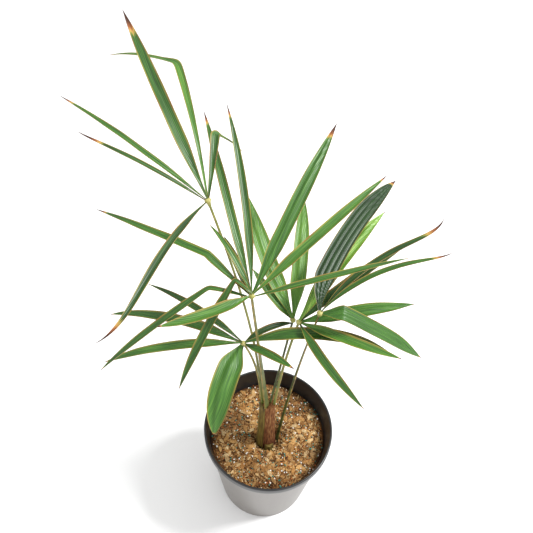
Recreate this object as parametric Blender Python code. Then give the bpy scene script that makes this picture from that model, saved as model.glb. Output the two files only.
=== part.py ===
"""A young windmill palm in a round nursery pot.

Metres, +Z up. The origin is the centre of the pot's flat underside. +X is to the right and +Y away from
someone who looks down at the plant from its best side.

A short stem wrapped in leaf bases stands in mulch. Six thin petioles rise from it. Each carries a fan of
stiff pleated fingers at its head, called a hub here. A finger that is folded over is two pieces, one on
each side of its fold.
"""

import math
from dataclasses import dataclass

import bmesh
import bpy
from mathutils import Vector

MM = 0.001

# Clearance between pieces that touch
GAP = 0.3 * MM

# Pot, from the ground up
POT_HEIGHT = 165 * MM
POT_FOOT_RADIUS = 62.5 * MM
POT_RIM_RADIUS = 82.5 * MM
POT_WALL = 1.8 * MM
POT_FLOOR = 2 * MM
RIM_BAND_HEIGHT = 11 * MM
RIM_LIP_WIDTH = 3 * MM
RIM_ROUNDING = 1.2 * MM
WALL_TOP_RADIUS = 78.2 * MM
POT_SIDES = 48
DRAIN_HOLES = 4
DRAIN_HOLE_RADIUS = 6 * MM
DRAIN_HOLE_CIRCLE = 42 * MM

# What fills the pot
MIX_TOP = 121 * MM
MULCH_TOP = 138 * MM
MULCH_HOLLOW_RADIUS = 20 * MM
MULCH_HOLLOW_TOP = 125 * MM

# Stem, wrapped in old leaf bases
STEM_FOOT = Vector((1, -5, 121.3)) * MM
STEM_TOP = Vector((-2, -0.5, 226)) * MM
STEM_TOP_RADIUS = 7.5 * MM
STEM_FOOT_RADIUS = 10.5 * MM
STEM_SIDES = 20
STEM_RINGS = 8

# Fans
HUB_RADIUS = 3.2 * MM
HUB_CLEARANCE = 0.35 * MM
BLADE_THICKNESS = 0.8 * MM
BLADE_TIP_WIDTH = 0.8 * MM
BLADE_BASE_WIDTH = 1.6 * MM
LAYER_STEP = 1.3 * MM
PLEAT_ANGLE = 24
SLOPE_POWER = 1.5
SHARP_FOLD = math.radians(30)
BLADE_STEPS = 8
HOOK_POWER = 8
PATH_STEPS = 40
UP = Vector((0, 0, 1))


@dataclass
class Finger:
    """One finger of a fan, in degrees and millimetres.

    azimuth: heading at the base, from +X towards +Y      rise: slope at the base, up from level
    droop: how far the slope falls by the tip             turn: how far the heading swings by the tip
    hook: a further swing, nearly all of it at the tip    kink: (where along it, swing, fall)
    pleats: V folds side by side                          layer: steps up or down at the hub
    beyond: the piece past a sharp fold
    """

    azimuth: float
    rise: float
    length: float
    width: float
    droop: float = 25
    turn: float = 0
    hook: float = 0
    kink: tuple = (1, 0, 0)
    pleats: int = 1
    layer: float = 0
    beyond: "Finger | None" = None


@dataclass
class Petiole:
    """A leaf stalk from its foot to its hub, in millimetres. bow: how far its middle leaves the straight line."""

    foot: tuple
    hub: tuple
    bow: tuple
    foot_size: tuple
    top_radius: float


LOW_LEAF = Petiole((-10.2, 0.5, 226.3), (-35, 6, 345), (3, 6, 3), (2.0, 1.9), 1.3)
LOW_FINGERS = [
    Finger(191, 9, 147, 11, droop=34, layer=1),
    Finger(167, 16, 149, 12, droop=36, turn=8),
    Finger(150, 20, 121, 8, droop=19, turn=10, layer=1),
    Finger(38, 16, 61, 8, droop=36, turn=-18),
    Finger(5, 23, 162, 15, droop=45, turn=-20, layer=1),
    Finger(328, 16, 64, 10, droop=14),
    Finger(246, 0, 103, 26, droop=65, turn=20, pleats=2),
]

MIDDLE_LEAF = Petiole((-4.5, -4.5, 226.3), (-28, 4, 430), (0, 1.7, -2), (4.3, 1.7), 1.5)
MIDDLE_FINGERS = [
    Finger(147, 21, 178, 9, droop=11, turn=-6, kink=(0.33, 17, 10), layer=-0.5),
    Finger(172, 11, 42, 6, droop=18, layer=-2.3, beyond=Finger(206, -30, 139, 8, droop=10)),
    Finger(151, 26, 20, 5, droop=14, layer=3, beyond=Finger(235, -37, 119, 9, droop=15, turn=4)),
    Finger(219, 0, 92, 12, droop=-5, turn=-20, layer=1),
    Finger(123, 36, 79, 6, turn=13, layer=1.6),
    Finger(121, 25, 66, 8, droop=10, turn=-2, layer=-1),
    Finger(112, 31, 201, 9, droop=19, turn=-4, layer=1),
    Finger(96, 32, 189, 8, droop=0, turn=15, layer=2),
    Finger(64, 30, 196, 15, droop=11, turn=3, pleats=2),
    Finger(39, 24, 178, 11, droop=10, turn=6, layer=1),
    Finger(11, 15, 151, 7, droop=7, turn=4, layer=-1),
]

TALL_LEAF = Petiole((-12.5, 6.5, 226.3), (-74, 65, 490), (13, -7, -9), (1.7, 1.6), 1.2)
TALL_FINGERS = [
    Finger(126, 34, 211, 12, droop=17, turn=-8, layer=1),
    Finger(106, 35, 145, 8, droop=20, turn=6, beyond=Finger(148, -7, 94, 5, droop=15, turn=6)),
    Finger(159, 28, 169, 6, droop=21, turn=-8, hook=-2),
    Finger(168, 28, 133, 5, droop=19, turn=-2, hook=-15, layer=-1),
    Finger(246, 9, 175, 7, droop=24, turn=16, hook=-56),
    Finger(87, 32, 68, 9, droop=8, turn=3, layer=-1, beyond=Finger(28, -40, 40, 4, droop=15)),
]

BACK_LEAF = Petiole((-0.5, 1.5, 226.3), (16, 33, 355), (0, -1, 0), (1.6, 1.6), 1.3)
BACK_FINGERS = [
    Finger(144, 24, 70, 11, droop=0, turn=-14),
    Finger(123, 28, 154, 19, droop=6, turn=-13, pleats=2, layer=1),
    Finger(84, 29, 149, 17, droop=17, turn=8, pleats=2),
]

SIDE_LEAF = Petiole((4.2, -0.5, 226.3), (21, 19, 372), (-2, 0, 0), (1.8, 1.7), 1.4)
SIDE_FINGERS = [
    Finger(57, 27, 156, 17, droop=19, turn=-8, pleats=2, layer=1),
    Finger(35, 26, 134, 12, droop=17, turn=-1),
    Finger(6, 15, 119, 16, droop=11, turn=4, pleats=2),
    Finger(330, 10, 110, 12, droop=-2, turn=6),
    Finger(294, 1, 113, 10, droop=-3, turn=17),
]

RIGHT_LEAF = Petiole((12.6, 0, 121.3), (40, 15, 395), (-1, 7, 4), (2.3, 2.1), 1.2)
RIGHT_FINGERS = [
    Finger(97, 25, 45, 22, droop=14, turn=-30, pleats=4, beyond=Finger(67, 11, 158, 22, droop=15, turn=-16, pleats=4)),
    Finger(50, 32, 159, 7, droop=14, turn=-50, hook=77, layer=-1),
    Finger(40, 30, 145, 6, droop=23, turn=-49, hook=44, layer=1),
    Finger(351, 19, 24, 19, droop=5, pleats=3, beyond=Finger(355, -28, 107, 19, droop=12, pleats=3)),
]

LEAVES = {
    "low_leaf": (LOW_LEAF, LOW_FINGERS),
    "middle_leaf": (MIDDLE_LEAF, MIDDLE_FINGERS),
    "tall_leaf": (TALL_LEAF, TALL_FINGERS),
    "back_leaf": (BACK_LEAF, BACK_FINGERS),
    "side_leaf": (SIDE_LEAF, SIDE_FINGERS),
    "right_leaf": (RIGHT_LEAF, RIGHT_FINGERS),
}


def clear_scene():
    for obj in list(bpy.data.objects):
        bpy.data.objects.remove(obj, do_unlink=True)


def principled(name, colour, roughness):
    """A plain material of one colour, given as red, green and blue from 0 to 1."""
    material = bpy.data.materials.new(name)
    material.use_nodes = True
    shader = material.node_tree.nodes["Principled BSDF"]
    shader.inputs["Base Color"].default_value = (*colour, 1)
    shader.inputs["Roughness"].default_value = roughness
    shader.inputs["Metallic"].default_value = 0
    return material


def solid(name, rings, material, hollow=False):
    """A closed mesh over rings of points, one after another.

    A ring of one point is a pole. With hollow, the last ring joins the first and there are no ends.
    """
    mesh = bmesh.new()
    made = [[mesh.verts.new(point) for point in ring] for ring in rings]
    pairs = list(zip(made, made[1:] + made[:1] if hollow else made[1:]))
    for low, high in pairs:
        count = max(len(low), len(high))
        for i in range(count):
            j = (i + 1) % count
            corners = [low[i % len(low)], low[j % len(low)], high[j % len(high)], high[i % len(high)]]
            mesh.faces.new(list(dict.fromkeys(corners)))
    if not hollow:
        for ring in (made[0], made[-1]):
            if len(ring) > 1:
                cap(mesh, ring)
    bmesh.ops.recalc_face_normals(mesh, faces=mesh.faces)
    data = bpy.data.meshes.new(name)
    mesh.to_mesh(data)
    mesh.free()
    data.shade_smooth()
    data.set_sharp_from_angle(angle=math.radians(40))
    data.materials.append(material)
    obj = bpy.data.objects.new(name, data)
    bpy.context.scene.collection.objects.link(obj)
    return obj


def cap(mesh, ring):
    """Close a ring of an even number of points with quads between its first and its second half."""
    last = len(ring) - 1
    for i in range(len(ring) // 2 - 1):
        corners = [ring[i], ring[i + 1], ring[last - i - 1], ring[last - i]]
        mesh.faces.new(corners)


def circle(radius, z, sides):
    """A level ring round the Z axis, or the one point of a pole."""
    if radius == 0:
        return [Vector((0, 0, z))]
    turns = (2 * math.pi * i / sides for i in range(sides))
    return [Vector((radius * math.cos(a), radius * math.sin(a), z)) for a in turns]


def frame_along(path, i):
    """The forward, side and upward directions at one point of a path."""
    before = path[max(i - 1, 0)]
    after = path[min(i + 1, len(path) - 1)]
    forward = (after - before).normalized()
    side = forward.cross(UP).normalized()
    return forward, side, side.cross(forward)


def smooth_step(t):
    t = min(max(t, 0), 1)
    return t * t * (3 - 2 * t)


def inner_wall_radius(z):
    """Radius of the pot's inner wall at a height below the rim band."""
    share = z / (POT_HEIGHT - RIM_BAND_HEIGHT)
    return POT_FOOT_RADIUS + (WALL_TOP_RADIUS - POT_FOOT_RADIUS) * share - POT_WALL


def build_pot(material):
    band_foot = POT_HEIGHT - RIM_BAND_HEIGHT
    lip = POT_RIM_RADIUS - RIM_LIP_WIDTH
    profile = [
        (0, 0),
        (POT_FOOT_RADIUS - RIM_ROUNDING, 0),
        (POT_FOOT_RADIUS, RIM_ROUNDING),
        (WALL_TOP_RADIUS, band_foot),
        (POT_RIM_RADIUS - RIM_ROUNDING, band_foot),
        (POT_RIM_RADIUS, band_foot + RIM_ROUNDING),
        (POT_RIM_RADIUS, POT_HEIGHT - RIM_ROUNDING),
        (POT_RIM_RADIUS - RIM_ROUNDING, POT_HEIGHT),
        (lip + RIM_ROUNDING, POT_HEIGHT),
        (lip, POT_HEIGHT - RIM_ROUNDING),
        (inner_wall_radius(band_foot), band_foot),
        (inner_wall_radius(POT_FLOOR), POT_FLOOR),
        (0, POT_FLOOR),
    ]
    pot = solid("pot", [circle(r, z, POT_SIDES) for r, z in profile], material)
    for i in range(DRAIN_HOLES):
        turn = 2 * math.pi * (i + 0.5) / DRAIN_HOLES
        middle = Vector((math.cos(turn), math.sin(turn), 0)) * DRAIN_HOLE_CIRCLE
        ends = [circle(DRAIN_HOLE_RADIUS, z, 12) for z in (-POT_FLOOR, 2 * POT_FLOOR)]
        rings = [[middle + point for point in ring] for ring in ends]
        cutter = solid(f"drain_cutter_{i + 1}", rings, material)
        cutter.hide_render = True
        cutter.display_type = "WIRE"
        cut = pot.modifiers.new(f"drain_{i + 1}", "BOOLEAN")
        cut.object = cutter
        cut.operation = "DIFFERENCE"


def build_filling(mix_material, mulch_material):
    bottom = POT_FLOOR + GAP
    mix = [
        (0, bottom),
        (inner_wall_radius(bottom) - GAP, bottom),
        (inner_wall_radius(MIX_TOP) - GAP, MIX_TOP),
        (0, MIX_TOP),
    ]
    solid("potting_mix", [circle(r, z, POT_SIDES) for r, z in mix], mix_material)
    mulch_bottom = MIX_TOP + GAP
    edge = inner_wall_radius(MULCH_TOP) - GAP
    slope_foot = MULCH_HOLLOW_RADIUS
    slope_top = 1.7 * MULCH_HOLLOW_RADIUS
    middle = (slope_foot + slope_top) / 2
    mulch = [
        (slope_foot, mulch_bottom),
        (inner_wall_radius(mulch_bottom) - GAP, mulch_bottom),
        (edge, MULCH_TOP - 1 * MM),
        (0.75 * edge, MULCH_TOP + 1 * MM),
        (slope_top, MULCH_TOP),
        (middle, (MULCH_TOP + MULCH_HOLLOW_TOP) / 2 + 1 * MM),
        (slope_foot, MULCH_HOLLOW_TOP),
    ]
    solid("mulch", [circle(r, z, POT_SIDES) for r, z in mulch], mulch_material, hollow=True)


def stem_middle(share):
    return STEM_FOOT.lerp(STEM_TOP, share)


def stem_radius(share):
    """The stem flares at the foot and keeps nearly its top radius above that."""
    return STEM_TOP_RADIUS + (STEM_FOOT_RADIUS - STEM_TOP_RADIUS) * (1 - share) ** 2.5


def build_stem(material):
    rings = []
    for i in range(STEM_RINGS + 1):
        share = i / STEM_RINGS
        rings.append([stem_middle(share) + p for p in circle(stem_radius(share), 0, STEM_SIDES)])
    solid("stem", rings, material)


def build_leaf_base(name, material, from_angle, to_angle, top_share, thickness):
    """An old leaf base: a curved plate that wraps part of the stem, thin at its edges, up to a share of its height."""
    steps = 8
    rings = []
    for level in range(STEM_RINGS + 1):
        share = top_share * level / STEM_RINGS
        inner = stem_radius(share) + GAP
        inside = []
        outside = []
        for i in range(steps + 1):
            angle = math.radians(from_angle + (to_angle - from_angle) * i / steps)
            way = Vector((math.cos(angle), math.sin(angle), 0))
            swell = math.sin(math.pi * i / steps)
            depth = thickness * (0.25 + 0.75 * swell) * (1 - 0.25 * share)
            inside.append(stem_middle(share) + way * inner)
            outside.append(stem_middle(share) + way * (inner + depth))
        rings.append(inside + outside[::-1])
    solid(name, rings, material)


def bowed_path(petiole, steps=12):
    """The stalk's middle line: a quadratic curve whose middle is moved by the bow."""
    foot = Vector(petiole.foot) * MM
    hub = Vector(petiole.hub) * MM
    handle = (foot + hub) / 2 + 2 * Vector(petiole.bow) * MM
    path = []
    for i in range(steps + 1):
        t = i / steps
        path.append(foot * (1 - t) ** 2 + handle * 2 * t * (1 - t) + hub * t * t)
    return path


def build_petiole(name, petiole, material):
    """A tapering stalk with a flat foot and a small round head where the fingers spread."""
    path = bowed_path(petiole)
    wide, deep = (size * MM for size in petiole.foot_size)
    top = petiole.top_radius * MM
    sides = 8
    rings = []
    for i, middle in enumerate(path[:-1]):
        forward, side, up = frame_along(path, i)
        if i == 0:
            up = side.cross(UP)
        taper = (1 - i / (len(path) - 1)) ** 1.5
        rx = top + (wide - top) * taper
        ry = top + (deep - top) * taper
        turns = (2 * math.pi * k / sides for k in range(sides))
        rings.append([middle + side * rx * math.cos(a) + up * ry * math.sin(a) for a in turns])
    forward, side, up = frame_along(path, len(path) - 1)
    hub = path[-1]
    for share in (-0.7, 0, 0.7):
        radius = HUB_RADIUS * math.cos(share * math.pi / 2 * 0.8)
        middle = hub + forward * HUB_RADIUS * 0.8 * share
        turns = (2 * math.pi * k / sides for k in range(sides))
        rings.append([middle + side * radius * math.cos(a) + up * radius * math.sin(a) for a in turns])
    solid(name, rings, material)


def finger_path(start, finger):
    """The finger's middle line, stepped along its falling slope and swinging heading."""
    path = [start]
    step = finger.length * MM / PATH_STEPS
    kink_at, kink_turn, kink_fall = finger.kink
    for i in range(PATH_STEPS):
        t = (i + 0.5) / PATH_STEPS
        slope = finger.rise - finger.droop * t**SLOPE_POWER
        heading = finger.azimuth + finger.turn * t + finger.hook * t**HOOK_POWER
        if t > kink_at:
            slope -= kink_fall
            heading += kink_turn
        slope = math.radians(slope)
        heading = math.radians(heading)
        level = Vector((math.cos(heading), math.sin(heading), 0)) * math.cos(slope)
        path.append(path[-1] + (level + UP * math.sin(slope)) * step)
    return path


def outside_hub(path, hub):
    """The path from where it leaves the round head of the stalk."""
    clear = HUB_RADIUS + HUB_CLEARANCE
    for i in range(1, len(path)):
        if (path[i] - hub).length >= clear:
            break
    start = path[i - 1]
    while (start - hub).length < clear:
        start = start.lerp(path[i], 0.1)
    return [start] + path[i:]


def finger_width(finger, t, first_width=0):
    """Width at a share of the length. A piece beyond a fold starts at the width of the piece before it."""
    full = finger.width * MM
    if finger.beyond:
        return BLADE_BASE_WIDTH + (full - BLADE_BASE_WIDTH) * t
    if first_width:
        full += (first_width - full) * (1 - smooth_step(t / 0.25))
    else:
        full *= smooth_step(0.15 + 0.85 * t / 0.45)
    taper = 1 - max(0, (t - 0.5) / 0.5) ** 2.2
    return max(full * taper, BLADE_TIP_WIDTH)


def build_blade(name, finger, path, material, first_width=0):
    """A thin pleated plate along the path."""
    rings = []
    for i in range(BLADE_STEPS + 1):
        t = i / BLADE_STEPS
        at = round(t * (len(path) - 1))
        forward, side, up = frame_along(path, at)
        width = finger_width(finger, t, first_width)
        pleat = width / (2 * finger.pleats)
        depth = pleat * math.tan(math.radians(PLEAT_ANGLE))
        top = []
        for k in range(2 * finger.pleats + 1):
            across = side * (k * pleat - width / 2)
            top.append(path[at] + across + up * (depth if k % 2 == 0 else 0))
        under = [point - up * BLADE_THICKNESS for point in reversed(top)]
        rings.append(top + under)
    solid(name, rings, material)


def build_finger(name, hub, finger, material):
    """A finger, cut off short of its hub, and the piece beyond its fold if it has one."""
    path = outside_hub(finger_path(hub + UP * LAYER_STEP * finger.layer, finger), hub)
    build_blade(name, finger, path, material)
    if not finger.beyond:
        return
    beyond = finger_path(path[-1], finger.beyond)
    before, after = path[-1] - path[-2], beyond[1] - beyond[0]
    sharp = before.angle(after) > SHARP_FOLD
    away = after.normalized() * 3 * GAP - UP * (1.8 * BLADE_THICKNESS if sharp else 0)
    moved = [point + away for point in beyond]
    build_blade(f"{name}_beyond_fold", finger.beyond, moved, material, finger.width * MM)


def build_leaf(name, petiole, fingers, stalk_material, blade_material):
    build_petiole(f"{name}_petiole", petiole, stalk_material)
    hub = Vector(petiole.hub) * MM
    for number, finger in enumerate(fingers, start=1):
        build_finger(f"{name}_finger_{number}", hub, finger, blade_material)


def main():
    clear_scene()
    black_plastic = principled("black_plastic", (0.03, 0.03, 0.032), 0.35)
    bark_mix = principled("bark_mix", (0.05, 0.032, 0.02), 0.95)
    tan_mulch = principled("tan_mulch", (0.42, 0.24, 0.1), 0.9)
    brown_fibre = principled("brown_fibre", (0.2, 0.08, 0.035), 0.9)
    olive_base = principled("olive_base", (0.13, 0.13, 0.04), 0.7)
    green_stalk = principled("green_stalk", (0.1, 0.17, 0.03), 0.5)
    green_blade = principled("green_blade", (0.08, 0.24, 0.03), 0.4)
    build_pot(black_plastic)
    build_filling(bark_mix, tan_mulch)
    build_stem(brown_fibre)
    build_leaf_base("leaf_base_left", olive_base, 120, 235, 1.0, 5.5 * MM)
    build_leaf_base("leaf_base_front", olive_base, 250, 318, 0.16, 3.5 * MM)
    for name, (petiole, fingers) in LEAVES.items():
        build_leaf(name, petiole, fingers, green_stalk, green_blade)


main()
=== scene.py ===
"""The looks of a young windmill palm in a nursery pot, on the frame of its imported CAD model.

Metres, +Z up, in the CAD model's frame: the origin is the centre of the pot's flat underside.
"""

import math
from dataclasses import dataclass

import bmesh
import bpy
from mathutils import Matrix, Vector, noise


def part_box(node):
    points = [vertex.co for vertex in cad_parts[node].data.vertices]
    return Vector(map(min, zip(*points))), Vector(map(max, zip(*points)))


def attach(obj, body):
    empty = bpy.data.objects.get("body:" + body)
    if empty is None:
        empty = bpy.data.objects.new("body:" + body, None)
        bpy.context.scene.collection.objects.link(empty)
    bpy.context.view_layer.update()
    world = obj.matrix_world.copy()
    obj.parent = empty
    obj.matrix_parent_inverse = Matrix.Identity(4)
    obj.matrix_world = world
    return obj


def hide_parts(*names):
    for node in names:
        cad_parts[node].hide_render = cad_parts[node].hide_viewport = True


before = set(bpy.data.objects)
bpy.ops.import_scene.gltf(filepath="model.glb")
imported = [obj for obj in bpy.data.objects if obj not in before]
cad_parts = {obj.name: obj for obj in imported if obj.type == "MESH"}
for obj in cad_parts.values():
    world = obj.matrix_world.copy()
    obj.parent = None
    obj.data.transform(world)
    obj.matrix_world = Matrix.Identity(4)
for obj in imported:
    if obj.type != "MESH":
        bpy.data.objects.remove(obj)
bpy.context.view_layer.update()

# The view is that of someone who stands in front of the plant and looks steeply down at it.
# The turn and tilt are solved from the pot's rim, its sides and its foot.
camera_place = Vector((-0.016, -0.316, 0.847))
camera_tilt = math.radians(49.4)
camera_roll = math.radians(3.8)
camera_data = bpy.data.cameras.new("photo_camera")
camera_data.lens = 38
camera_data.sensor_width = 36
camera = bpy.data.objects.new("photo_camera", camera_data)
bpy.context.scene.collection.objects.link(camera)
looking = Matrix.Rotation(math.pi / 2 - camera_tilt, 4, "X") @ Matrix.Rotation(camera_roll, 4, "Z")
camera.matrix_world = Matrix.Translation(camera_place) @ looking
bpy.context.scene.camera = camera
bpy.context.scene.view_settings.view_transform = "Standard"


# The studio: a white table and a white room, with one broad lamp high on the right.
# It gives the soft, pale shadow that the pot throws to the left.


def linear(hex_colour):
    """An sRGB hex colour as linear red, green, blue and alpha."""
    parts = [int(hex_colour[i : i + 2], 16) / 255 for i in (1, 3, 5)]
    return (*(c / 12.92 if c <= 0.04045 else ((c + 0.055) / 1.055) ** 2.4 for c in parts), 1)


def new_finish(name, **values):
    """A material with a Principled shader. Each value sets the shader's own socket of that name."""
    finish = bpy.data.materials.new(name)
    finish.use_nodes = True
    shader = finish.node_tree.nodes["Principled BSDF"]
    for socket, value in values.items():
        shader.inputs[socket.replace("_", " ")].default_value = value
    return finish, finish.node_tree, shader


# Matt paper: near white, with no gloss.
white_floor = new_finish("white_studio_paper", Base_Color=linear("#f7f7f7"), Roughness=0.9)[0]
floor_mesh = bpy.data.meshes.new("floor")
floor_reach = 6.0
corners = [(x * floor_reach, y * floor_reach, 0) for x, y in ((-1, -1), (1, -1), (1, 1), (-1, 1))]
floor_mesh.from_pydata(corners, [], [(0, 1, 2, 3)])
floor_mesh.materials.append(white_floor)
floor = bpy.data.objects.new("floor", floor_mesh)
bpy.context.scene.collection.objects.link(floor)

room = bpy.data.worlds.new("white_room")
room.use_nodes = True
room.node_tree.nodes["Background"].inputs["Color"].default_value = linear("#ffffff")
room.node_tree.nodes["Background"].inputs["Strength"].default_value = 1.0
bpy.context.scene.world = room

lamp_place = Vector((1.3, 0.2, 2.2))
lamp_aim = Vector((0, 0.05, 0.3))
lamp_data = bpy.data.lights.new("high_right_lamp", "AREA")
lamp_data.shape = "DISK"
lamp_data.size = 0.5
lamp_data.energy = 62
lamp = bpy.data.objects.new("high_right_lamp", lamp_data)
lamp.location = lamp_place
lamp.rotation_euler = (lamp_aim - lamp_place).to_track_quat("-Z", "Y").to_euler()
bpy.context.scene.collection.objects.link(lamp)

# The pot is blow-moulded black polyethylene with a rolled rim. Its wall is thin and satin,
# and it catches so much light below the rim that it looks warm grey there.
mm = 0.001
pot_height = 165 * mm
rim_foot = 154 * mm
rim_radius = 82.5 * mm
rim_lip = 79.6 * mm
foot_radius = 62.5 * mm
wall_top_radius = 78.2 * mm
pot_wall = 1.8 * mm
pot_floor = 2 * mm
drain_circle = 42 * mm
drain_radius = 6 * mm


def add(tree, kind, inputs=None, **settings):
    """Adds a node to a tree, with its settings, and its inputs given as values or as sockets to link."""
    node = tree.nodes.new(kind)
    for name, value in settings.items():
        setattr(node, name, value)
    for name, value in (inputs or {}).items():
        if isinstance(value, bpy.types.NodeSocket):
            tree.links.new(value, node.inputs[name])
        else:
            node.inputs[name].default_value = value
    return node


def ramp(tree, factor, stops):
    """A colour ramp with (position, hex colour) stops."""
    node = add(tree, "ShaderNodeValToRGB", {"Fac": factor})
    while len(node.color_ramp.elements) < len(stops):
        node.color_ramp.elements.new(1)
    for element, (position, colour) in zip(node.color_ramp.elements, stops):
        element.position = position
        element.color = linear(colour)
    return node.outputs["Color"]


def link_mesh(name, mesh, finish):
    """Makes a smooth shaded object of a bmesh and links it."""
    bmesh.ops.recalc_face_normals(mesh, faces=mesh.faces)
    data = bpy.data.meshes.new(name)
    mesh.to_mesh(data)
    mesh.free()
    data.shade_smooth()
    data.materials.append(finish)
    made = bpy.data.objects.new(name, data)
    bpy.context.scene.collection.objects.link(made)
    return made


def turned(name, profile, sides, finish):
    """Turns a profile of (radius, height) points round the Z axis. A radius of 0 is a pole."""
    mesh = bmesh.new()
    rings = []
    for radius, height in profile:
        count = 1 if radius == 0 else sides
        turns = (2 * math.pi * i / sides for i in range(count))
        rings.append([mesh.verts.new((radius * math.cos(a), radius * math.sin(a), height)) for a in turns])
    for low, high in zip(rings, rings[1:]):
        for i in range(sides):
            j = (i + 1) % sides
            ring = [low[i % len(low)], low[j % len(low)], high[j % len(high)], high[i % len(high)]]
            mesh.faces.new(list(dict.fromkeys(ring)))
    return link_mesh(name, mesh, finish)


def wall_radius(height):
    """Outer radius of the pot's wall below its rim."""
    return foot_radius + (wall_top_radius - foot_radius) * height / rim_foot


# Moulded polyethylene: satin, with faint scuffs and upright streaks. The rim and the inside stay black; the
# outer wall under the rim is painted warm grey, painted light for the light it catches.
black_polyethylene, tree, shader = new_finish("black_polyethylene", Roughness=0.34, Specular_IOR_Level=0.5)
spot = add(tree, "ShaderNodeTexCoord").outputs["Object"]
height = add(tree, "ShaderNodeSeparateXYZ", {"Vector": spot}).outputs["Z"]
scuffs = add(tree, "ShaderNodeTexNoise", {"Vector": spot, "Scale": 60, "Detail": 6}).outputs["Fac"]
streaked = add(tree, "ShaderNodeMapping", {"Vector": spot, "Scale": (1, 1, 0.08)}).outputs["Vector"]
streaks = add(tree, "ShaderNodeTexNoise", {"Vector": streaked, "Scale": 90, "Detail": 3}).outputs["Fac"]
rim_black = ramp(tree, scuffs, [(0.3, "#161617"), (0.7, "#242425")])
# Painted light: the outer wall's warm grey stands for the light it catches; the plastic itself is black.
wall_painted_light_grey = ramp(tree, streaks, [(0.3, "#66605b"), (0.7, "#6e6862")])
radius = add(tree, "ShaderNodeVectorMath", {0: spot, 1: (1, 1, 0)}, operation="MULTIPLY").outputs["Vector"]
radius = add(tree, "ShaderNodeVectorMath", {0: radius}, operation="LENGTH").outputs["Value"]
wall_here = add(
    tree,
    "ShaderNodeMapRange",
    {
        "Value": height,
        "From Min": 0,
        "From Max": rim_foot,
        "To Min": foot_radius,
        "To Max": wall_top_radius,
    },
).outputs["Result"]
# Mask of the painted light: the outside of the wall, below the rim.
depth_in = add(tree, "ShaderNodeMath", {0: wall_here, 1: radius}, operation="SUBTRACT").outputs["Value"]
outside = add(tree, "ShaderNodeMath", {0: depth_in, 1: pot_wall / 2}, operation="LESS_THAN").outputs["Value"]
under_rim = add(tree, "ShaderNodeMath", {0: height, 1: rim_foot - 0.3 * mm}, operation="LESS_THAN")
painted_light_part = add(tree, "ShaderNodeMath", {0: outside, 1: under_rim.outputs["Value"]}, operation="MULTIPLY")
pot_colour = add(
    tree, "ShaderNodeMix", {0: painted_light_part.outputs["Value"], 6: rim_black, 7: wall_painted_light_grey}, data_type="RGBA"
)
tree.links.new(pot_colour.outputs[2], shader.inputs["Base Color"])
dents = add(tree, "ShaderNodeBump", {"Height": scuffs, "Distance": 0.15 * mm, "Strength": 0.4})
tree.links.new(dents.outputs["Normal"], shader.inputs["Normal"])


def rounded(corner_radius, centre, start, end, steps=5):
    """Points of an arc in the profile's plane, in degrees from outwards to up."""
    points = []
    for i in range(steps + 1):
        angle = math.radians(start + (end - start) * i / steps)
        across, up = corner_radius * math.cos(angle), corner_radius * math.sin(angle)
        points.append((centre[0] + across, centre[1] + up))
    return points


edge = 1.4 * mm
wall_rows = 6
pot_sides = 160
drain_holes = 4
drill_length = 12 * mm
pot_profile = (
    [(0, 0), (drain_circle - 2 * drain_radius, 0), (foot_radius - 4 * mm, 0)]
    + rounded(edge, (foot_radius - edge, edge), -90, 0)
    + [(wall_radius(rim_foot * row / wall_rows), rim_foot * row / wall_rows) for row in range(1, wall_rows)]
    + [(wall_top_radius, rim_foot)]
    + rounded(edge, (rim_radius - edge, rim_foot + edge), -90, 0)
    + rounded(edge, (rim_radius - edge, pot_height - edge), 0, 90)
    + rounded(edge, (rim_lip + edge, pot_height - edge), 90, 180)
    + [(wall_radius(rim_foot) - pot_wall, rim_foot - 1 * mm), (wall_radius(pot_floor) - pot_wall, pot_floor)]
    + [(0, pot_floor)]
)
pot = turned("nursery_pot", pot_profile, pot_sides, black_polyethylene)
for hole in range(drain_holes):
    turn = 2 * math.pi * (hole + 0.5) / drain_holes
    drill_mesh = bmesh.new()
    place = Matrix.Translation(Vector((math.cos(turn), math.sin(turn), 0)) * drain_circle)
    bmesh.ops.create_cone(
        drill_mesh,
        cap_ends=True,
        segments=32,
        radius1=drain_radius,
        radius2=drain_radius,
        depth=drill_length,
        matrix=place,
    )
    drill = link_mesh("drain_drill", drill_mesh, black_polyethylene)
    cut = pot.modifiers.new("drain", "BOOLEAN")
    cut.object = drill
    cut.operation = "DIFFERENCE"
    drained = bpy.data.meshes.new_from_object(pot.evaluated_get(bpy.context.evaluated_depsgraph_get()))
    pot.modifiers.clear()
    pot.data = drained
    bpy.data.objects.remove(drill)
pot.data.set_sharp_from_angle(angle=math.radians(50))
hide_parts("pot")
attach(pot, "root")

# The potting mix is dark fine bark, hidden under the mulch and seen only through the drain holes.

# Damp fine bark: matt, near black to brown, crumbly.
dark_bark_mix, tree, shader = new_finish("dark_bark_mix", Roughness=0.95)
spot = add(tree, "ShaderNodeTexCoord").outputs["Object"]
crumbs = add(tree, "ShaderNodeTexNoise", {"Vector": spot, "Scale": 260, "Detail": 5}).outputs["Fac"]
tree.links.new(ramp(tree, crumbs, [(0.35, "#1d140e"), (0.7, "#4a3524")]), shader.inputs["Base Color"])
rough_crumbs = add(tree, "ShaderNodeBump", {"Height": crumbs, "Distance": 1.5 * mm})
tree.links.new(rough_crumbs.outputs["Normal"], shader.inputs["Normal"])
mix_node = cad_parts["potting_mix"]
mix_node.data.materials.clear()
mix_node.data.materials.append(dark_bark_mix)

# The mulch is shredded bark, rice-sized to finger-nail-sized, thrown loose round the stem, with prills
# of fertiliser and grit in it. It sinks to a dark hollow at the stem.
mulch_low, mulch_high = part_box("mulch")
mulch_edge = mulch_high.x
mulch_top = 138 * mm
hollow_top = 124 * mm
hollow_radius = 12 * mm
hollow_rim = 26 * mm
hollow_middle = Vector((1, -3, 0)) * mm
hump_height = 2 * mm
bed_sink = 1.2 * mm


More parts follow.
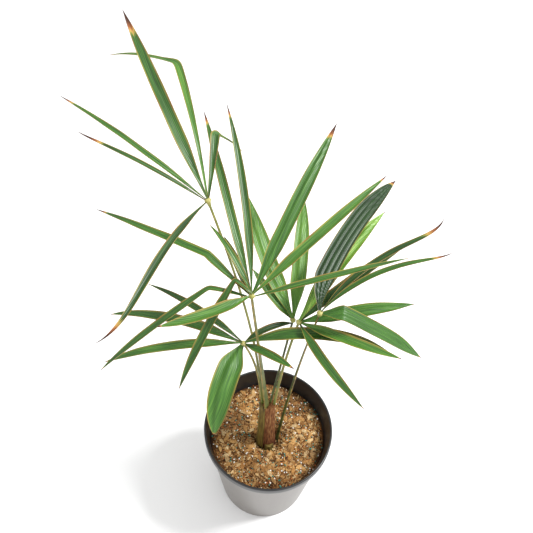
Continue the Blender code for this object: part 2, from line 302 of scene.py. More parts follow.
def mulch_height(x, y):
    """Height of the mulch's bed, with a hollow round the stem and low humps."""
    spread = math.hypot(x - hollow_middle.x, y - hollow_middle.y)
    share = min(max((spread - hollow_radius) / (hollow_rim - hollow_radius), 0), 1)
    rise = share * share * (3 - 2 * share)
    humps = noise.noise(Vector((x, y, 0)) * 55) * hump_height
    return hollow_top + (mulch_top - hollow_top) * rise + humps * rise - bed_sink


# Dry shredded bark: matt and fibrous, brown to cream, each piece with its own tone.
loose_bark, tree, shader = new_finish("shredded_bark", Roughness=0.85, Specular_IOR_Level=0.25)
spot = add(tree, "ShaderNodeTexCoord").outputs["Object"]
tone = add(tree, "ShaderNodeAttribute", attribute_name="tone").outputs["Fac"]
fibre = add(tree, "ShaderNodeTexNoise", {"Vector": spot, "Scale": 900, "Detail": 4}).outputs["Fac"]
patches = add(tree, "ShaderNodeTexNoise", {"Vector": spot, "Scale": 38, "Detail": 3}).outputs["Fac"]
bark_stops = [
    (0.0, "#4a2f1a"),
    (0.22, "#8a5c30"),
    (0.5, "#bd8a4e"),
    (0.8, "#d8ac6e"),
    (1.0, "#efd9ab"),
]
bark_colour = ramp(tree, tone, bark_stops)
shading = ramp(tree, fibre, [(0.3, "#a89c90"), (0.65, "#ffffff")])
damp = ramp(tree, patches, [(0.35, "#8f7f72"), (0.6, "#ffffff")])
for strength, dimming in ((1.0, shading), (0.8, damp)):
    dimmed = {0: strength, 6: bark_colour, 7: dimming}
    bark_colour = add(tree, "ShaderNodeMix", dimmed, data_type="RGBA", blend_type="MULTIPLY").outputs[2]
tree.links.new(bark_colour, shader.inputs["Base Color"])
grain = add(tree, "ShaderNodeBump", {"Height": fibre, "Distance": 0.3 * mm})
tree.links.new(grain.outputs["Normal"], shader.inputs["Normal"])

bed_mesh = bmesh.new()
bed_rings = []
ring_count = 40
bed_sides = 120
bed_start = 2 * mm
for i in range(ring_count + 1):
    reach_here = bed_start + (mulch_edge - bed_start) * i / ring_count
    row = []
    for k in range(bed_sides):
        angle = 2 * math.pi * k / bed_sides
        x, y = reach_here * math.cos(angle), reach_here * math.sin(angle)
        row.append(bed_mesh.verts.new((x, y, mulch_height(x, y))))
    bed_rings.append(row)
under_row = [bed_mesh.verts.new((v.co.x, v.co.y, mulch_low.z)) for v in bed_rings[-1]]
bed_rings.append(under_row)
for inner, outer in zip(bed_rings, bed_rings[1:]):
    for k in range(bed_sides):
        after = (k + 1) % bed_sides
        bed_mesh.faces.new((inner[k], outer[k], outer[after], inner[after]))
bed_mesh.faces.new(bed_rings[0])
bed_mesh.faces.new(under_row[::-1])
bed = link_mesh("mulch_bed", bed_mesh, loose_bark)
bed_tone = bed.data.attributes.new("tone", "FLOAT", "POINT")
dark_tone = 0.12
bed_tone.data.foreach_set("value", [dark_tone] * len(bed.data.vertices))


def small_shape(name, stretch, bend, sides=5):
    """A splinter or a grain of a few faces, one unit long, lying along X."""
    mesh = bmesh.new()
    rows = []
    for i, share in enumerate((0.0, 0.35, 0.7, 1.0)):
        size = (0.35, 1.0, 0.85, 0.25)[i]
        row = []
        for k in range(sides):
            angle = 2 * math.pi * k / sides
            y = math.cos(angle) * stretch[0] * size
            z = math.sin(angle) * stretch[1] * size + bend * math.sin(math.pi * share)
            row.append(mesh.verts.new((share - 0.5, y, z)))
        rows.append(row)
    for low, high in zip(rows, rows[1:]):
        for k in range(sides):
            mesh.faces.new((low[k], low[(k + 1) % sides], high[(k + 1) % sides], high[k]))
    mesh.faces.new(rows[0][::-1])
    mesh.faces.new(rows[-1])
    made = link_mesh(name, mesh, loose_bark)
    made.data.shade_flat()
    return made


def scatter(name, base, shape, finish, count, smallest, largest, seed, lift, tilt=0.5, tones=(0, 1)):
    """Strews copies of a shape over the top of a base mesh and returns them as one plain mesh."""
    tree = bpy.data.node_groups.new(name, "GeometryNodeTree")
    for label, kind in (("Geometry", "NodeSocketGeometry"), ("Density", "NodeSocketFloat")):
        tree.interface.new_socket(label, in_out="INPUT", socket_type=kind)
    tree.interface.new_socket("Geometry", in_out="OUTPUT", socket_type="NodeSocketGeometry")
    given = add(tree, "NodeGroupInput")
    normal = add(tree, "GeometryNodeInputNormal").outputs["Normal"]
    upward = add(tree, "ShaderNodeSeparateXYZ", {"Vector": normal}).outputs["Z"]
    top_only = add(
        tree, "FunctionNodeCompare", {0: upward, 1: 0.3}, operation="GREATER_THAN"
    ).outputs["Result"]
    place = add(tree, "GeometryNodeInputPosition").outputs["Position"]
    level = add(
        tree, "ShaderNodeVectorMath", {0: place, 1: (1, 1, 0)}, operation="MULTIPLY"
    ).outputs["Vector"]
    from_axis = add(tree, "ShaderNodeVectorMath", {0: level}, operation="LENGTH").outputs["Value"]
    clear_of_wall = add(
        tree, "FunctionNodeCompare", {0: from_axis, 1: mulch_edge - 0.6 * largest}, operation="LESS_THAN"
    ).outputs["Result"]
    top_only = add(tree, "FunctionNodeBooleanMath", {0: top_only, 1: clear_of_wall}).outputs["Boolean"]
    dots = add(
        tree,
        "GeometryNodeDistributePointsOnFaces",
        {
            "Mesh": given.outputs["Geometry"],
            "Selection": top_only,
            "Density": given.outputs["Density"],
            "Seed": seed,
        },
    )
    turn = add(
        tree,
        "FunctionNodeRandomValue",
        {0: (-tilt, -tilt, -math.pi), 1: (tilt, tilt, math.pi), "Seed": seed + 1},
        data_type="FLOAT_VECTOR",
    )
    size = add(
        tree, "FunctionNodeRandomValue", {2: smallest, 3: largest, "Seed": seed + 2}, data_type="FLOAT"
    )
    piece = add(tree, "GeometryNodeObjectInfo", {"Object": shape})
    placed = add(
        tree,
        "GeometryNodeInstanceOnPoints",
        {
            "Points": dots.outputs["Points"],
            "Instance": piece.outputs["Geometry"],
            "Rotation": turn.outputs["Value"],
            "Scale": size.outputs[1],
        },
    )
    raised = add(
        tree,
        "GeometryNodeTranslateInstances",
        {"Instances": placed.outputs["Instances"], "Translation": (0, 0, lift), "Local Space": False},
    )
    shade = add(
        tree, "FunctionNodeRandomValue", {2: tones[0], 3: tones[1], "Seed": seed + 3}, data_type="FLOAT"
    )
    toned = add(
        tree,
        "GeometryNodeStoreNamedAttribute",
        {"Geometry": raised.outputs["Instances"], "Name": "tone", "Value": shade.outputs[1]},
        data_type="FLOAT",
        domain="INSTANCE",
    )
    whole = add(tree, "GeometryNodeRealizeInstances", {"Geometry": toned.outputs["Geometry"]})
    coated = add(
        tree, "GeometryNodeSetMaterial", {"Geometry": whole.outputs["Geometry"], "Material": finish}
    )
    add(tree, "NodeGroupOutput", {"Geometry": coated.outputs["Geometry"]})
    carrier = bpy.data.objects.new(name, base.data.copy())
    bpy.context.scene.collection.objects.link(carrier)
    strewn = carrier.modifiers.new(name, "NODES")
    strewn.node_group = tree
    area = math.pi * mulch_edge**2
    density_socket = next(s for s in tree.interface.items_tree if s.name == "Density")
    strewn[density_socket.identifier] = count / area
    bpy.context.view_layer.update()
    data = bpy.data.meshes.new_from_object(carrier.evaluated_get(bpy.context.evaluated_depsgraph_get()))
    bpy.data.objects.remove(carrier)
    made = bpy.data.objects.new(name, data)
    bpy.context.scene.collection.objects.link(made)
    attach(made, "root")
    return made


def grit_finish(name, colour, shade, roughness):
    """A grain of one colour with a darker speckle."""
    finish, tree, shader = new_finish(name, Roughness=roughness)
    spot = add(tree, "ShaderNodeTexCoord").outputs["Object"]
    speckle = add(tree, "ShaderNodeTexNoise", {"Vector": spot, "Scale": 700}).outputs["Fac"]
    tree.links.new(ramp(tree, speckle, [(0.35, shade), (0.65, colour)]), shader.inputs["Base Color"])
    return finish


splinter = small_shape("splinter", (0.13, 0.05), 0.04)
flake = small_shape("flake", (0.26, 0.05), 0.07)
grain_shape = small_shape("grain", (0.42, 0.4), 0, sides=6)
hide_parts("mulch")
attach(bed, "root")
scatter("bark_splinters", bed, splinter, loose_bark, 4600, 3 * mm, 8 * mm, 11, 0.5 * mm)
scatter("bark_crumbs", bed, flake, loose_bark, 5200, 1.6 * mm, 3.6 * mm, 23, 0.5 * mm, tilt=0.8)
scatter(
    "bark_flakes", bed, flake, loose_bark, 240, 6 * mm, 11 * mm, 37, 1.2 * mm, tilt=0.3, tones=(0.45, 0.95)
)
# A coated fertiliser prill is smooth, a clay grain matt and perlite matt and porous.
teal_prill = grit_finish("teal_fertiliser_prill", "#2f8f80", "#1f6a60", 0.4)
orange_grain = grit_finish("orange_clay_grain", "#c9702c", "#9a4f1e", 0.8)
white_grit = grit_finish("white_perlite", "#f4f1ea", "#dcd6ca", 0.7)
scatter("teal_prills", bed, grain_shape, teal_prill, 230, 1.4 * mm, 2.4 * mm, 53, 1.2 * mm)
scatter("orange_grains", bed, grain_shape, orange_grain, 170, 1.2 * mm, 2.2 * mm, 61, 1.1 * mm)
scatter("white_perlite", bed, grain_shape, white_grit, 150, 1.2 * mm, 2.6 * mm, 71, 1.1 * mm)
for shape in (splinter, flake, grain_shape):
    bpy.data.objects.remove(shape)

# The stem is short and wrapped in a reddish sheath of matted fibre, cut off flat among the stalks.
# Two old leaf bases hug it: a tall one on the left and a short stub in front.
stem_foot = Vector((1, -5, 121.3)) * mm
stem_top = Vector((-2, -0.5, 226)) * mm
stem_top_radius = 7.5 * mm
stem_foot_radius = 10.5 * mm

# Matted palm fibre: matt, coarse upright strands, darker towards the mulch.
matted_fibre, tree, shader = new_finish("matted_palm_fibre", Roughness=0.9, Specular_IOR_Level=0.2)
spot = add(tree, "ShaderNodeTexCoord").outputs["Object"]
drawn_out = add(tree, "ShaderNodeMapping", {"Vector": spot, "Scale": (1, 1, 0.12)}).outputs["Vector"]
strands = add(tree, "ShaderNodeTexNoise", {"Vector": drawn_out, "Scale": 620, "Detail": 6}).outputs["Fac"]
# Two colours of the same fibre, the lower one darker; the sheath shifts to it from 165 mm down to 130 mm.
upper_fibre_colour = ramp(tree, strands, [(0.3, "#4a2a1a"), (0.5, "#80502f"), (0.7, "#a87c50")])
lower_darker_fibre_colour = ramp(tree, strands, [(0.3, "#33190f"), (0.6, "#6b3a23")])
height = add(tree, "ShaderNodeSeparateXYZ", {"Vector": spot}).outputs["Z"]
low_down = add(
    tree, "ShaderNodeMapRange", {"Value": height, "From Min": 165 * mm, "From Max": 130 * mm}
).outputs["Result"]
sheath_colour = add(tree, "ShaderNodeMix", {0: low_down, 6: upper_fibre_colour, 7: lower_darker_fibre_colour}, data_type="RGBA")
tree.links.new(sheath_colour.outputs[2], shader.inputs["Base Color"])
coarse = add(tree, "ShaderNodeBump", {"Height": strands, "Distance": 0.8 * mm})
tree.links.new(coarse.outputs["Normal"], shader.inputs["Normal"])


def stem_middle(share):
    return stem_foot.lerp(stem_top, share)


def stem_radius(share):
    return stem_top_radius + (stem_foot_radius - stem_top_radius) * (1 - share) ** 2.5


def tube(name, rings, finish):
    """A closed tube through rings of points."""
    mesh = bmesh.new()
    made = [[mesh.verts.new(p) for p in ring] for ring in rings]
    for low, high in zip(made, made[1:]):
        for k in range(len(low)):
            j = (k + 1) % len(low)
            mesh.faces.new((low[k], low[j], high[j], high[k]))
    mesh.faces.new(made[0][::-1])
    mesh.faces.new(made[-1])
    return link_mesh(name, mesh, finish)


sheath_levels = 40
sheath_sides = 48
wrinkle_height = 0.9 * mm
wrap_height = 0.5 * mm
sheath_rings = []
for i in range(sheath_levels + 1):
    share = i / sheath_levels
    ring = []
    for k in range(sheath_sides):
        angle = 2 * math.pi * k / sheath_sides
        way = Vector((math.cos(angle), math.sin(angle), 0))
        wrinkle = noise.noise(Vector((way.x * 3.5, way.y * 3.5, share * 2.2))) * wrinkle_height
        wrap = wrap_height * math.sin(3 * angle + share * 4)
        ring.append(stem_middle(share) + way * (stem_radius(share) + wrinkle + wrap))
    sheath_rings.append(ring)
sheath = tube("fibre_sheath", sheath_rings, matted_fibre)
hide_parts("stem")
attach(sheath, "root")

# Dried leaf base: olive brown, tough, ribbed along its length.
old_leaf_base, tree, shader = new_finish("old_leaf_base", Roughness=0.6, Specular_IOR_Level=0.35)
spot = add(tree, "ShaderNodeTexCoord").outputs["Object"]
drawn_out = add(tree, "ShaderNodeMapping", {"Vector": spot, "Scale": (1, 1, 0.1)}).outputs["Vector"]
strands = add(tree, "ShaderNodeTexNoise", {"Vector": drawn_out, "Scale": 380, "Detail": 5}).outputs["Fac"]
tree.links.new(
    ramp(tree, strands, [(0.3, "#3f2f14"), (0.5, "#6d5a26"), (0.72, "#8a7d3c")]), shader.inputs["Base Color"]
)
ribbed = add(tree, "ShaderNodeBump", {"Height": strands, "Distance": 0.5 * mm})
tree.links.new(ribbed.outputs["Normal"], shader.inputs["Normal"])


base_levels = 24
base_columns = 16
base_gap = 0.3 * mm
base_tuck = 0.2 * mm
ripple_height = 0.4 * mm


def leaf_base(name, node, from_angle, to_angle, top_share, thickness):
    """A curved slab that hugs the stem between two angles, in degrees, up to a share of its height."""
    rings = []
    for level in range(base_levels + 1):
        share = top_share * level / base_levels
        inner = stem_radius(share) + base_gap
        inside, outside = [], []
        for i in range(base_columns + 1):
            angle = math.radians(from_angle + (to_angle - from_angle) * i / base_columns)
            way = Vector((math.cos(angle), math.sin(angle), 0))
            swell = math.sin(math.pi * i / base_columns)
            depth = thickness * (0.2 + 0.8 * swell) * (1 - 0.25 * share)
            ripple = noise.noise(Vector((angle * 3, share * 9, 0))) * ripple_height
            inside.append(stem_middle(share) + way * (inner - base_tuck))
            outside.append(stem_middle(share) + way * (inner + depth + ripple))
        rings.append(inside + outside[::-1])
    made = tube(name, rings, old_leaf_base)
    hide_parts(node)
    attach(made, "root")


leaf_base("old_base_left", "leaf_base_left", 120, 235, 1.0, 5.5 * mm)
leaf_base("old_base_front", "leaf_base_front", 250, 318, 0.16, 3.5 * mm)

# A stalk is a stiff green petiole with a shallow groove on its upper side and darker, faintly toothed
# edges that dry to orange. It ends in a small pale knob where the fan's fingers spread.

# Living stalk skin: smooth, half glossy, dark olive, with dried orange edges and a pale knob.
petiole_skin, tree, shader = new_finish("petiole_skin", Roughness=0.42, Specular_IOR_Level=0.4)
spot = add(tree, "ShaderNodeTexCoord").outputs["Object"]
edge_here = add(tree, "ShaderNodeAttribute", attribute_name="edge").outputs["Fac"]
knob_here = add(tree, "ShaderNodeAttribute", attribute_name="knob").outputs["Fac"]
paleness = add(tree, "ShaderNodeAttribute", attribute_name="paleness").outputs["Fac"]
mottle = add(tree, "ShaderNodeTexNoise", {"Vector": spot, "Scale": 120, "Detail": 4}).outputs["Fac"]
dark_stalk = ramp(tree, mottle, [(0.35, "#26331a"), (0.65, "#4a5a28")])
pale_stalk = ramp(tree, mottle, [(0.35, "#7f8a3c"), (0.65, "#a39a52")])
stalk = add(tree, "ShaderNodeMix", {0: paleness, 6: dark_stalk, 7: pale_stalk}, data_type="RGBA").outputs[2]
dried_edge = ramp(tree, mottle, [(0.35, "#a5702c"), (0.65, "#cfa35c")])
stalk = add(tree, "ShaderNodeMix", {0: edge_here, 6: stalk, 7: dried_edge}, data_type="RGBA").outputs[2]
pale_knob = ramp(tree, mottle, [(0.35, "#8a8a3e"), (0.65, "#c2b878")])
stalk = add(tree, "ShaderNodeMix", {0: knob_here, 6: stalk, 7: pale_knob}, data_type="RGBA").outputs[2]
tree.links.new(stalk, shader.inputs["Base Color"])
skin = add(tree, "ShaderNodeBump", {"Height": mottle, "Distance": 0.1 * mm})
tree.links.new(skin.outputs["Normal"], shader.inputs["Normal"])


@dataclass
class Stalk:
    """Foot, hub and bow of a stalk in millimetres, with its sizes, as the CAD model has them."""

    foot: tuple
    hub: tuple
    bow: tuple
    foot_size: tuple
    top_radius: float
    paleness: float


stalks = {
    "low_leaf": Stalk((-10.2, 0.5, 226.3), (-35, 6, 345), (3, 6, 3), (2.0, 1.9), 1.3, 0.55),
    "middle_leaf": Stalk((-4.5, -4.5, 226.3), (-28, 4, 430), (0, 1.7, -2), (4.3, 1.7), 1.5, 0.35),
    "tall_leaf": Stalk((-12.5, 6.5, 226.3), (-74, 65, 490), (13, -7, -9), (1.7, 1.6), 1.2, 0.45),
    "back_leaf": Stalk((-0.5, 1.5, 226.3), (16, 33, 355), (0, -1, 0), (1.6, 1.6), 1.3, 0.1),
    "side_leaf": Stalk((4.2, -0.5, 226.3), (21, 19, 372), (-2, 0, 0), (1.8, 1.7), 1.4, 0.6),
    "right_leaf": Stalk((12.6, 0, 121.3), (40, 15, 395), (-1, 7, 4), (2.3, 2.1), 1.2, 0.1),
}
hub_radius = 3.2 * mm
up_axis = Vector((0, 0, 1))
stalk_steps = 48
stalk_sides = 16
tooth_every = 5
groove_depth = 0.35


def along_frame(path, i):
    """Forward, sideways and upward directions at a point of a path."""
    forward = (path[min(i + 1, len(path) - 1)] - path[max(i - 1, 0)]).normalized()
    side = forward.cross(up_axis).normalized()
    return forward, side, side.cross(forward)


def set_floats(made, name, values):
    attribute = made.data.attributes.new(name, "FLOAT", "POINT")
    attribute.data.foreach_set("value", values)


for name, stalk_plan in stalks.items():
    foot, hub, bow = (Vector(v) * mm for v in (stalk_plan.foot, stalk_plan.hub, stalk_plan.bow))
    handle = (foot + hub) / 2 + 2 * bow
    middle_line = []
    for i in range(stalk_steps + 1):
        t = i / stalk_steps
        middle_line.append(foot * (1 - t) ** 2 + handle * 2 * t * (1 - t) + hub * t * t)
    rings, edges, knobs = [], [], []
    wide, deep = (size * mm for size in stalk_plan.foot_size)
    top = stalk_plan.top_radius * mm
    for i, middle in enumerate(middle_line[:-1]):
        forward, side, lift = along_frame(middle_line, i)
        taper = (1 - i / stalk_steps) ** 1.5
        rx, ry = top + (wide - top) * taper, top + (deep - top) * taper
        ring = []
        for k in range(stalk_sides):
            angle = 2 * math.pi * k / stalk_sides
            groove = groove_depth * max(0, math.sin(angle)) ** 6
            across = math.cos(angle) * rx
            ring.append(middle + side * across + lift * ry * (math.sin(angle) - groove))
            edges.append(max(0, abs(math.cos(angle)) - 0.8) * 4 * (0.4 + 0.6 * (i % tooth_every == 0)))
            knobs.append(0)
        rings.append(ring)
    forward, side, lift = along_frame(middle_line, stalk_steps)
    for share in (-0.8, -0.4, 0, 0.4, 0.8):
        radius_here = hub_radius * math.sqrt(1 - share**2 * 0.9)
        ring = []
        for k in range(stalk_sides):
            angle = 2 * math.pi * k / stalk_sides
            bump = 1 + 0.08 * math.sin(5 * angle)
            way = side * math.cos(angle) + lift * math.sin(angle)
            ring.append(hub + forward * hub_radius * 0.8 * share + way * radius_here * bump)
            edges.append(0)
            knobs.append(1)
        rings.append(ring)
    made = tube(f"{name}_stalk", rings, petiole_skin)
    set_floats(made, "edge", edges)
    set_floats(made, "knob", knobs)
    set_floats(made, "paleness", [stalk_plan.paleness] * len(knobs))
    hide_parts(f"{name}_petiole")
    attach(made, "root")

# A fan is one leaf, split nearly to its hub into stiff fingers. Each finger is folded along its middle
# like a gutter, with fine lengthways veins, a dry margin and a tip that browns.

# Waxy palm leaf: satin above, paler below. Its veins stand 1.4 mm apart, coarser than real ones, to show.
waxy_leaf, tree, shader = new_finish("waxy_palm_leaf", Roughness=0.4, Specular_IOR_Level=0.45)
spot = add(tree, "ShaderNodeTexCoord").outputs["Object"]
# Painted light: each finger's lightness is partly its own green and partly painted light, lit fingers pale
# and shaded ones dark.
leaf_green_and_painted_light = add(tree, "ShaderNodeAttribute", attribute_name="leaf_green_and_painted_light").outputs["Fac"]
across_leaf = add(tree, "ShaderNodeAttribute", attribute_name="across_mm").outputs["Fac"]
along_leaf = add(tree, "ShaderNodeAttribute", attribute_name="along_mm").outputs["Fac"]
tip_share = add(tree, "ShaderNodeAttribute", attribute_name="browning").outputs["Fac"]
margin = add(tree, "ShaderNodeAttribute", attribute_name="margin").outputs["Fac"]
underside = add(tree, "ShaderNodeAttribute", attribute_name="underside").outputs["Fac"]
vein_spacing = 1.4
strip = add(
    tree, "ShaderNodeCombineXYZ", {"X": across_leaf, "Y": along_leaf, "Z": leaf_green_and_painted_light}
).outputs["Vector"]
drawn_out = add(tree, "ShaderNodeMapping", {"Vector": strip, "Scale": (1.1, 0.035, 9)}).outputs["Vector"]
streaks = add(tree, "ShaderNodeTexNoise", {"Vector": drawn_out, "Scale": 1, "Detail": 4}).outputs["Fac"]
vein_phase = add(
    tree, "ShaderNodeMath", {0: across_leaf, 1: 2 * math.pi / vein_spacing}, operation="MULTIPLY"
)
veins = add(tree, "ShaderNodeMath", {0: vein_phase.outputs["Value"]}, operation="SINE").outputs["Value"]
blotches = add(tree, "ShaderNodeTexNoise", {"Vector": spot, "Scale": 45, "Detail": 5}).outputs["Fac"]
streak_push = add(tree, "ShaderNodeMath", {0: streaks, 1: 0.5}, operation="SUBTRACT").outputs["Value"]
streak_push = add(tree, "ShaderNodeMath", {0: streak_push, 1: 0.75}, operation="MULTIPLY").outputs["Value"]
vein_push = add(tree, "ShaderNodeMath", {0: veins, 1: 0.035}, operation="MULTIPLY").outputs["Value"]
green_at = add(tree, "ShaderNodeMath", {0: leaf_green_and_painted_light, 1: streak_push}, operation="ADD").outputs["Value"]
green_at = add(tree, "ShaderNodeMath", {0: green_at, 1: vein_push}, operation="ADD", use_clamp=True)
green_at = green_at.outputs["Value"]
green_stops = [(0.0, "#10260f"), (0.3, "#254717"), (0.55, "#3f6c24"), (0.8, "#6c9838"), (1.0, "#a8c35e")]
upper_green = ramp(tree, green_at, green_stops)
lower_green = ramp(tree, green_at, [(0.0, "#3d5a3c"), (0.5, "#6f9160"), (1.0, "#a5bd86")])
leaf_colour = add(tree, "ShaderNodeMix", {0: underside, 6: upper_green, 7: lower_green}, data_type="RGBA")
leaf_colour = leaf_colour.outputs[2]
dry_margin = ramp(tree, blotches, [(0.4, "#b39a4a"), (0.65, "#a8682f")])
leaf_colour = add(
    tree, "ShaderNodeMix", {0: margin, 6: leaf_colour, 7: dry_margin}, data_type="RGBA"
).outputs[2]
tip_noise = add(tree, "ShaderNodeMath", {0: streak_push, 1: 0.9}, operation="MULTIPLY").outputs["Value"]
tip_at = add(tree, "ShaderNodeMath", {0: tip_share, 1: tip_noise}, operation="ADD", use_clamp=True)
tip_at = tip_at.outputs["Value"]
tip_stops = [(0.42, "#8d8c3f"), (0.55, "#b58f4a"), (0.7, "#8a5128"), (0.95, "#43271a")]
tip_colour = ramp(tree, tip_at, tip_stops)
tip_mask = add(
    tree, "ShaderNodeMapRange", {"Value": tip_at, "From Min": 0.35, "From Max": 0.5}
).outputs["Result"]
leaf_colour = add(
    tree, "ShaderNodeMix", {0: tip_mask, 6: leaf_colour, 7: tip_colour}, data_type="RGBA"
).outputs[2]
tree.links.new(leaf_colour, shader.inputs["Base Color"])
dryness = add(
    tree, "ShaderNodeMapRange", {"Value": tip_mask, "To Min": 0.38, "To Max": 0.75}
).outputs["Result"]
tree.links.new(dryness, shader.inputs["Roughness"])
vein_bump = add(tree, "ShaderNodeBump", {"Height": veins, "Distance": 0.12 * mm, "Strength": 0.7})
tree.links.new(vein_bump.outputs["Normal"], shader.inputs["Normal"])


@dataclass
class Finger:
    """One finger of a fan, as the CAD model has it, with its lightness and the share of it that is brown.
    The lightness is partly its own green and partly painted light: how brightly the finger is lit.
    """

    azimuth: float
    rise: float
    length: float
    width: float
    droop: float = 25
    turn: float = 0
    hook: float = 0
    kink: tuple = (1, 0, 0)
    pleats: int = 1
    layer: float = 0
    # light sets how pale the finger's green is drawn: partly its own colour, partly painted light for how
    # lit it is.
    light: float = 0.5
    brown: float = 0.04
    beyond: "Finger | None" = None


# The angles, lengths and folds were fitted to the leaves' outlines and rounded, as in the CAD model.
# Each finger's light value is partly painted light: shaded fingers get low values and lit ones high values.
fans = {
    "low_leaf": [
        Finger(191, 9, 147, 11, droop=34, layer=1, light=0.5),
        Finger(167, 16, 149, 12, droop=36, turn=8, light=0.45),
        Finger(150, 20, 121, 8, droop=19, turn=10, layer=1, light=0.35),
        Finger(38, 16, 61, 8, droop=36, turn=-18, light=0.22),
        Finger(5, 23, 162, 15, droop=45, turn=-20, layer=1, light=0.5),
        Finger(328, 16, 64, 10, droop=14, light=0.4, brown=0.12),
        Finger(246, 0, 103, 26, droop=65, turn=20, pleats=2, light=0.5),
    ],
    "middle_leaf": [
        Finger(147, 21, 178, 9, droop=11, turn=-6, kink=(0.33, 17, 10), layer=-0.5, light=0.42, brown=0.1),
        Finger(172, 11, 42, 6, droop=18, layer=-2.3, light=0.4, beyond=Finger(206, -30, 139, 8, droop=10)),
        Finger(
            151, 26, 20, 5, droop=14, layer=3, light=0.42,
            beyond=Finger(235, -37, 119, 9, droop=15, turn=4),
        ),
        Finger(219, 0, 92, 12, droop=-5, turn=-20, layer=1, light=0.6, brown=0.06),
        Finger(123, 36, 79, 6, turn=13, layer=1.6, light=0.5),
        Finger(121, 25, 66, 8, droop=10, turn=-2, layer=-1, light=0.5, brown=0),
        Finger(112, 31, 201, 9, droop=19, turn=-4, layer=1, light=0.5, brown=0.13),
        Finger(96, 32, 189, 8, droop=0, turn=15, layer=2, light=0.35, brown=0.12),
        Finger(64, 30, 196, 15, droop=11, turn=3, pleats=2, light=0.45, brown=0.14),
        Finger(39, 24, 178, 11, droop=10, turn=6, layer=1, light=0.5, brown=0.08),
        Finger(11, 15, 151, 7, droop=7, turn=4, layer=-1, light=0.5, brown=0.02),
    ],
    "tall_leaf": [
        Finger(126, 34, 211, 12, droop=17, turn=-8, layer=1, light=0.38, brown=0.22),
        Finger(
            106, 35, 145, 8, droop=20, turn=6, light=0.62,
            beyond=Finger(148, -7, 94, 5, droop=15, turn=6),
        ),
        Finger(159, 28, 169, 6, droop=21, turn=-8, hook=-2, light=0.42, brown=0.14),
        Finger(168, 28, 133, 5, droop=19, turn=-2, hook=-15, layer=-1, light=0.4, brown=0.3),
        Finger(246, 9, 175, 7, droop=24, turn=16, hook=-56, light=0.22, brown=0.2),
        Finger(
            87, 32, 68, 9, droop=8, turn=3, layer=-1, light=0.42,
            beyond=Finger(28, -40, 40, 4, droop=15),
        ),
    ],
    "back_leaf": [
        Finger(144, 24, 70, 11, droop=0, turn=-14, light=0.55),
        Finger(123, 28, 154, 19, droop=6, turn=-13, pleats=2, layer=1, light=0.66, brown=0.01),
        Finger(84, 29, 149, 17, droop=17, turn=8, pleats=2, light=0.62, brown=0.01),
    ],
    "side_leaf": [
        Finger(57, 27, 156, 17, droop=19, turn=-8, pleats=2, layer=1, light=0.78, brown=0.02),
        Finger(35, 26, 134, 12, droop=17, turn=-1, light=0.35),
        Finger(6, 15, 119, 16, droop=11, turn=4, pleats=2, light=0.55, brown=0.02),
        Finger(330, 10, 110, 12, droop=-2, turn=6, light=0.58),
        Finger(294, 1, 113, 10, droop=-3, turn=17, light=0.45),
    ],
    "right_leaf": [
        Finger(
            97, 25, 45, 22, droop=14, turn=-30, pleats=4, light=0.12,
            beyond=Finger(67, 11, 158, 22, droop=15, turn=-16, pleats=4, brown=0.08),
        ),
        Finger(50, 32, 159, 7, droop=14, turn=-50, hook=77, layer=-1, light=0.3, brown=0.25),
        Finger(40, 30, 145, 6, droop=23, turn=-49, hook=44, layer=1, light=0.4, brown=0.22),
        Finger(
            351, 19, 24, 19, droop=5, pleats=3, light=0.5,
            beyond=Finger(355, -28, 107, 19, droop=12, pleats=3, brown=0.05),
        ),
    ],
}
path_steps = 40
pleat_columns = 6
fold_angle = 26
leaf_thickness = 0.5 * mm
layer_step = 1.3 * mm
neck_width = 1.6
fold_rounds = 3
wave_height = 0.7 * mm
brown_start = 0.35
margin_strength = 0.7
finger_jitter = 0.05


def finger_path(start, plan):
    """The finger's middle line, as in the CAD model: a falling slope and a swinging heading."""
    path = [start]
    step = plan.length * mm / path_steps
    kink_at, kink_turn, kink_fall = plan.kink
    for i in range(path_steps):
        t = (i + 0.5) / path_steps
        slope = plan.rise - plan.droop * t**1.5
        heading = plan.azimuth + plan.turn * t + plan.hook * t**8
        if t > kink_at:
            slope -= kink_fall
            heading += kink_turn
        level = Vector((math.cos(math.radians(heading)), math.sin(math.radians(heading)), 0))
        slope = math.radians(slope)
        path.append(path[-1] + (level * math.cos(slope) + up_axis * math.sin(slope)) * step)
    return path


def smooth_step(t):
    t = min(max(t, 0), 1)
    return t * t * (3 - 2 * t)


def swelling(t):
    """Share of the full width: it widens fast from the hub."""
    return 0.16 + 0.84 * smooth_step(t / 0.3)


def tapering(t):
    """Share of the full width: it narrows to a point from half way."""
    return max(1 - max(0, (t - 0.5) / 0.5) ** 2.2, 0.02)


def widths_along(plan):
    """Full widths at each point of the path, and of the piece past a fold."""
    if not plan.beyond:
        shares = (i / path_steps for i in range(path_steps + 1))
        return [plan.width * swelling(t) * tapering(t) for t in shares]
    spreading = (smooth_step(i / path_steps * 0.9 + 0.1) for i in range(path_steps + 1))
    inner = [neck_width + (plan.width - neck_width) * share for share in spreading]
    outer = []
    for i in range(1, path_steps + 1):
        t = i / path_steps
        full = plan.beyond.width + (plan.width - plan.beyond.width) * (1 - smooth_step(t / 0.25))
        outer.append(full * tapering(t))
    return inner + outer


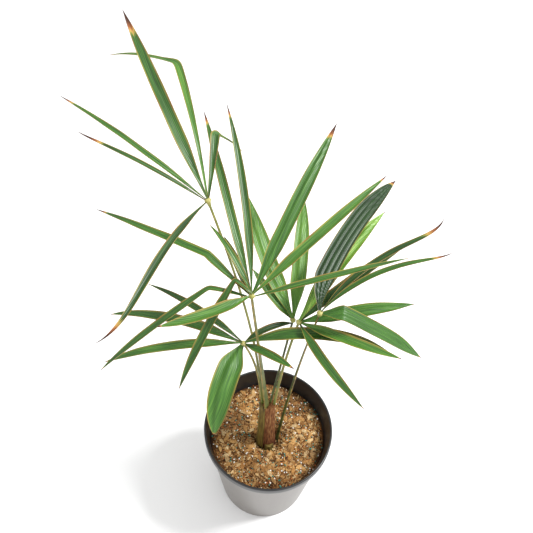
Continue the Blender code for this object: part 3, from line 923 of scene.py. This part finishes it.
def finger_strip(mesh, floats, hub, plan):
    """Adds one finger to a fan's mesh: two skins, folded between its pleats, joined at the margins."""
    path = finger_path(hub + up_axis * layer_step * plan.layer, plan)
    last = plan.beyond or plan
    if plan.beyond:
        path = path + finger_path(path[-1], plan.beyond)[1:]
        for _ in range(fold_rounds):
            softened = [(a + 2 * b + c) / 4 for a, b, c in zip(path, path[1:], path[2:])]
            path = [path[0]] + softened + [path[-1]]
    widths = widths_along(plan)
    columns = pleat_columns * plan.pleats
    total = plan.length + (plan.beyond.length if plan.beyond else 0)
    run = 0
    rows = []
    for i, middle in enumerate(path):
        if i:
            run += (path[i] - path[i - 1]).length / mm
        forward, side, lift = along_frame(path, i)
        width = widths[i] * mm
        fold = width / (2 * plan.pleats) * math.tan(math.radians(fold_angle))
        brown_from = 1 - last.brown * 0.75
        brown = 0 if last.brown == 0 else (run / total - brown_from) / (1 - brown_from) + brown_start
        upper, lower = [], []
        for k in range(columns + 1):
            u = k / columns
            within = (u * plan.pleats) % 1 if k < columns else 1
            height_here = fold * abs(2 * within - 1) ** 1.2
            ripple = noise.noise(Vector((run * 0.035, u * 1.5, plan.azimuth)))
            wave = ripple * wave_height * min(1, width / (8 * mm))
            point = middle + side * (u - 0.5) * width + lift * (height_here + wave)
            at_margin = 1 if k in (0, columns) else 0
            for skin, row, shift in ((0, upper, 0), (1, lower, leaf_thickness)):
                row.append(mesh.verts.new(point - lift * shift))
                floats["leaf_green_and_painted_light"].append(plan.light + finger_jitter * math.sin(plan.azimuth))
                floats["across_mm"].append(u * width / mm)
                floats["along_mm"].append(run)
                floats["browning"].append(max(brown, 0))
                floats["margin"].append(at_margin * margin_strength)
                floats["underside"].append(skin)
        rows.append((upper, lower))
    for (top_a, low_a), (top_b, low_b) in zip(rows, rows[1:]):
        for k in range(columns):
            mesh.faces.new((top_a[k], top_a[k + 1], top_b[k + 1], top_b[k]))
            mesh.faces.new((low_a[k + 1], low_a[k], low_b[k], low_b[k + 1]))
        mesh.faces.new((low_a[0], top_a[0], top_b[0], low_b[0]))
        mesh.faces.new((top_a[-1], low_a[-1], low_b[-1], top_b[-1]))
    for top_row, low_row in (rows[0], rows[-1]):
        for k in range(columns):
            mesh.faces.new((top_row[k], low_row[k], low_row[k + 1], top_row[k + 1]))


for name, fingers in fans.items():
    fan_mesh = bmesh.new()
    labels = ("leaf_green_and_painted_light", "across_mm", "along_mm", "browning", "margin", "underside")
    floats = {label: [] for label in labels}
    hub = Vector(stalks[name].hub) * mm
    for plan in fingers:
        finger_strip(fan_mesh, floats, hub, plan)
    fan = link_mesh(f"{name}_fan", fan_mesh, waxy_leaf)
    fan.data.set_sharp_from_angle(angle=math.radians(70))
    for label, values in floats.items():
        set_floats(fan, label, values)
    nodes = [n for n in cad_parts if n.startswith(f"{name}_finger")]
    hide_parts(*nodes)
    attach(fan, "root")
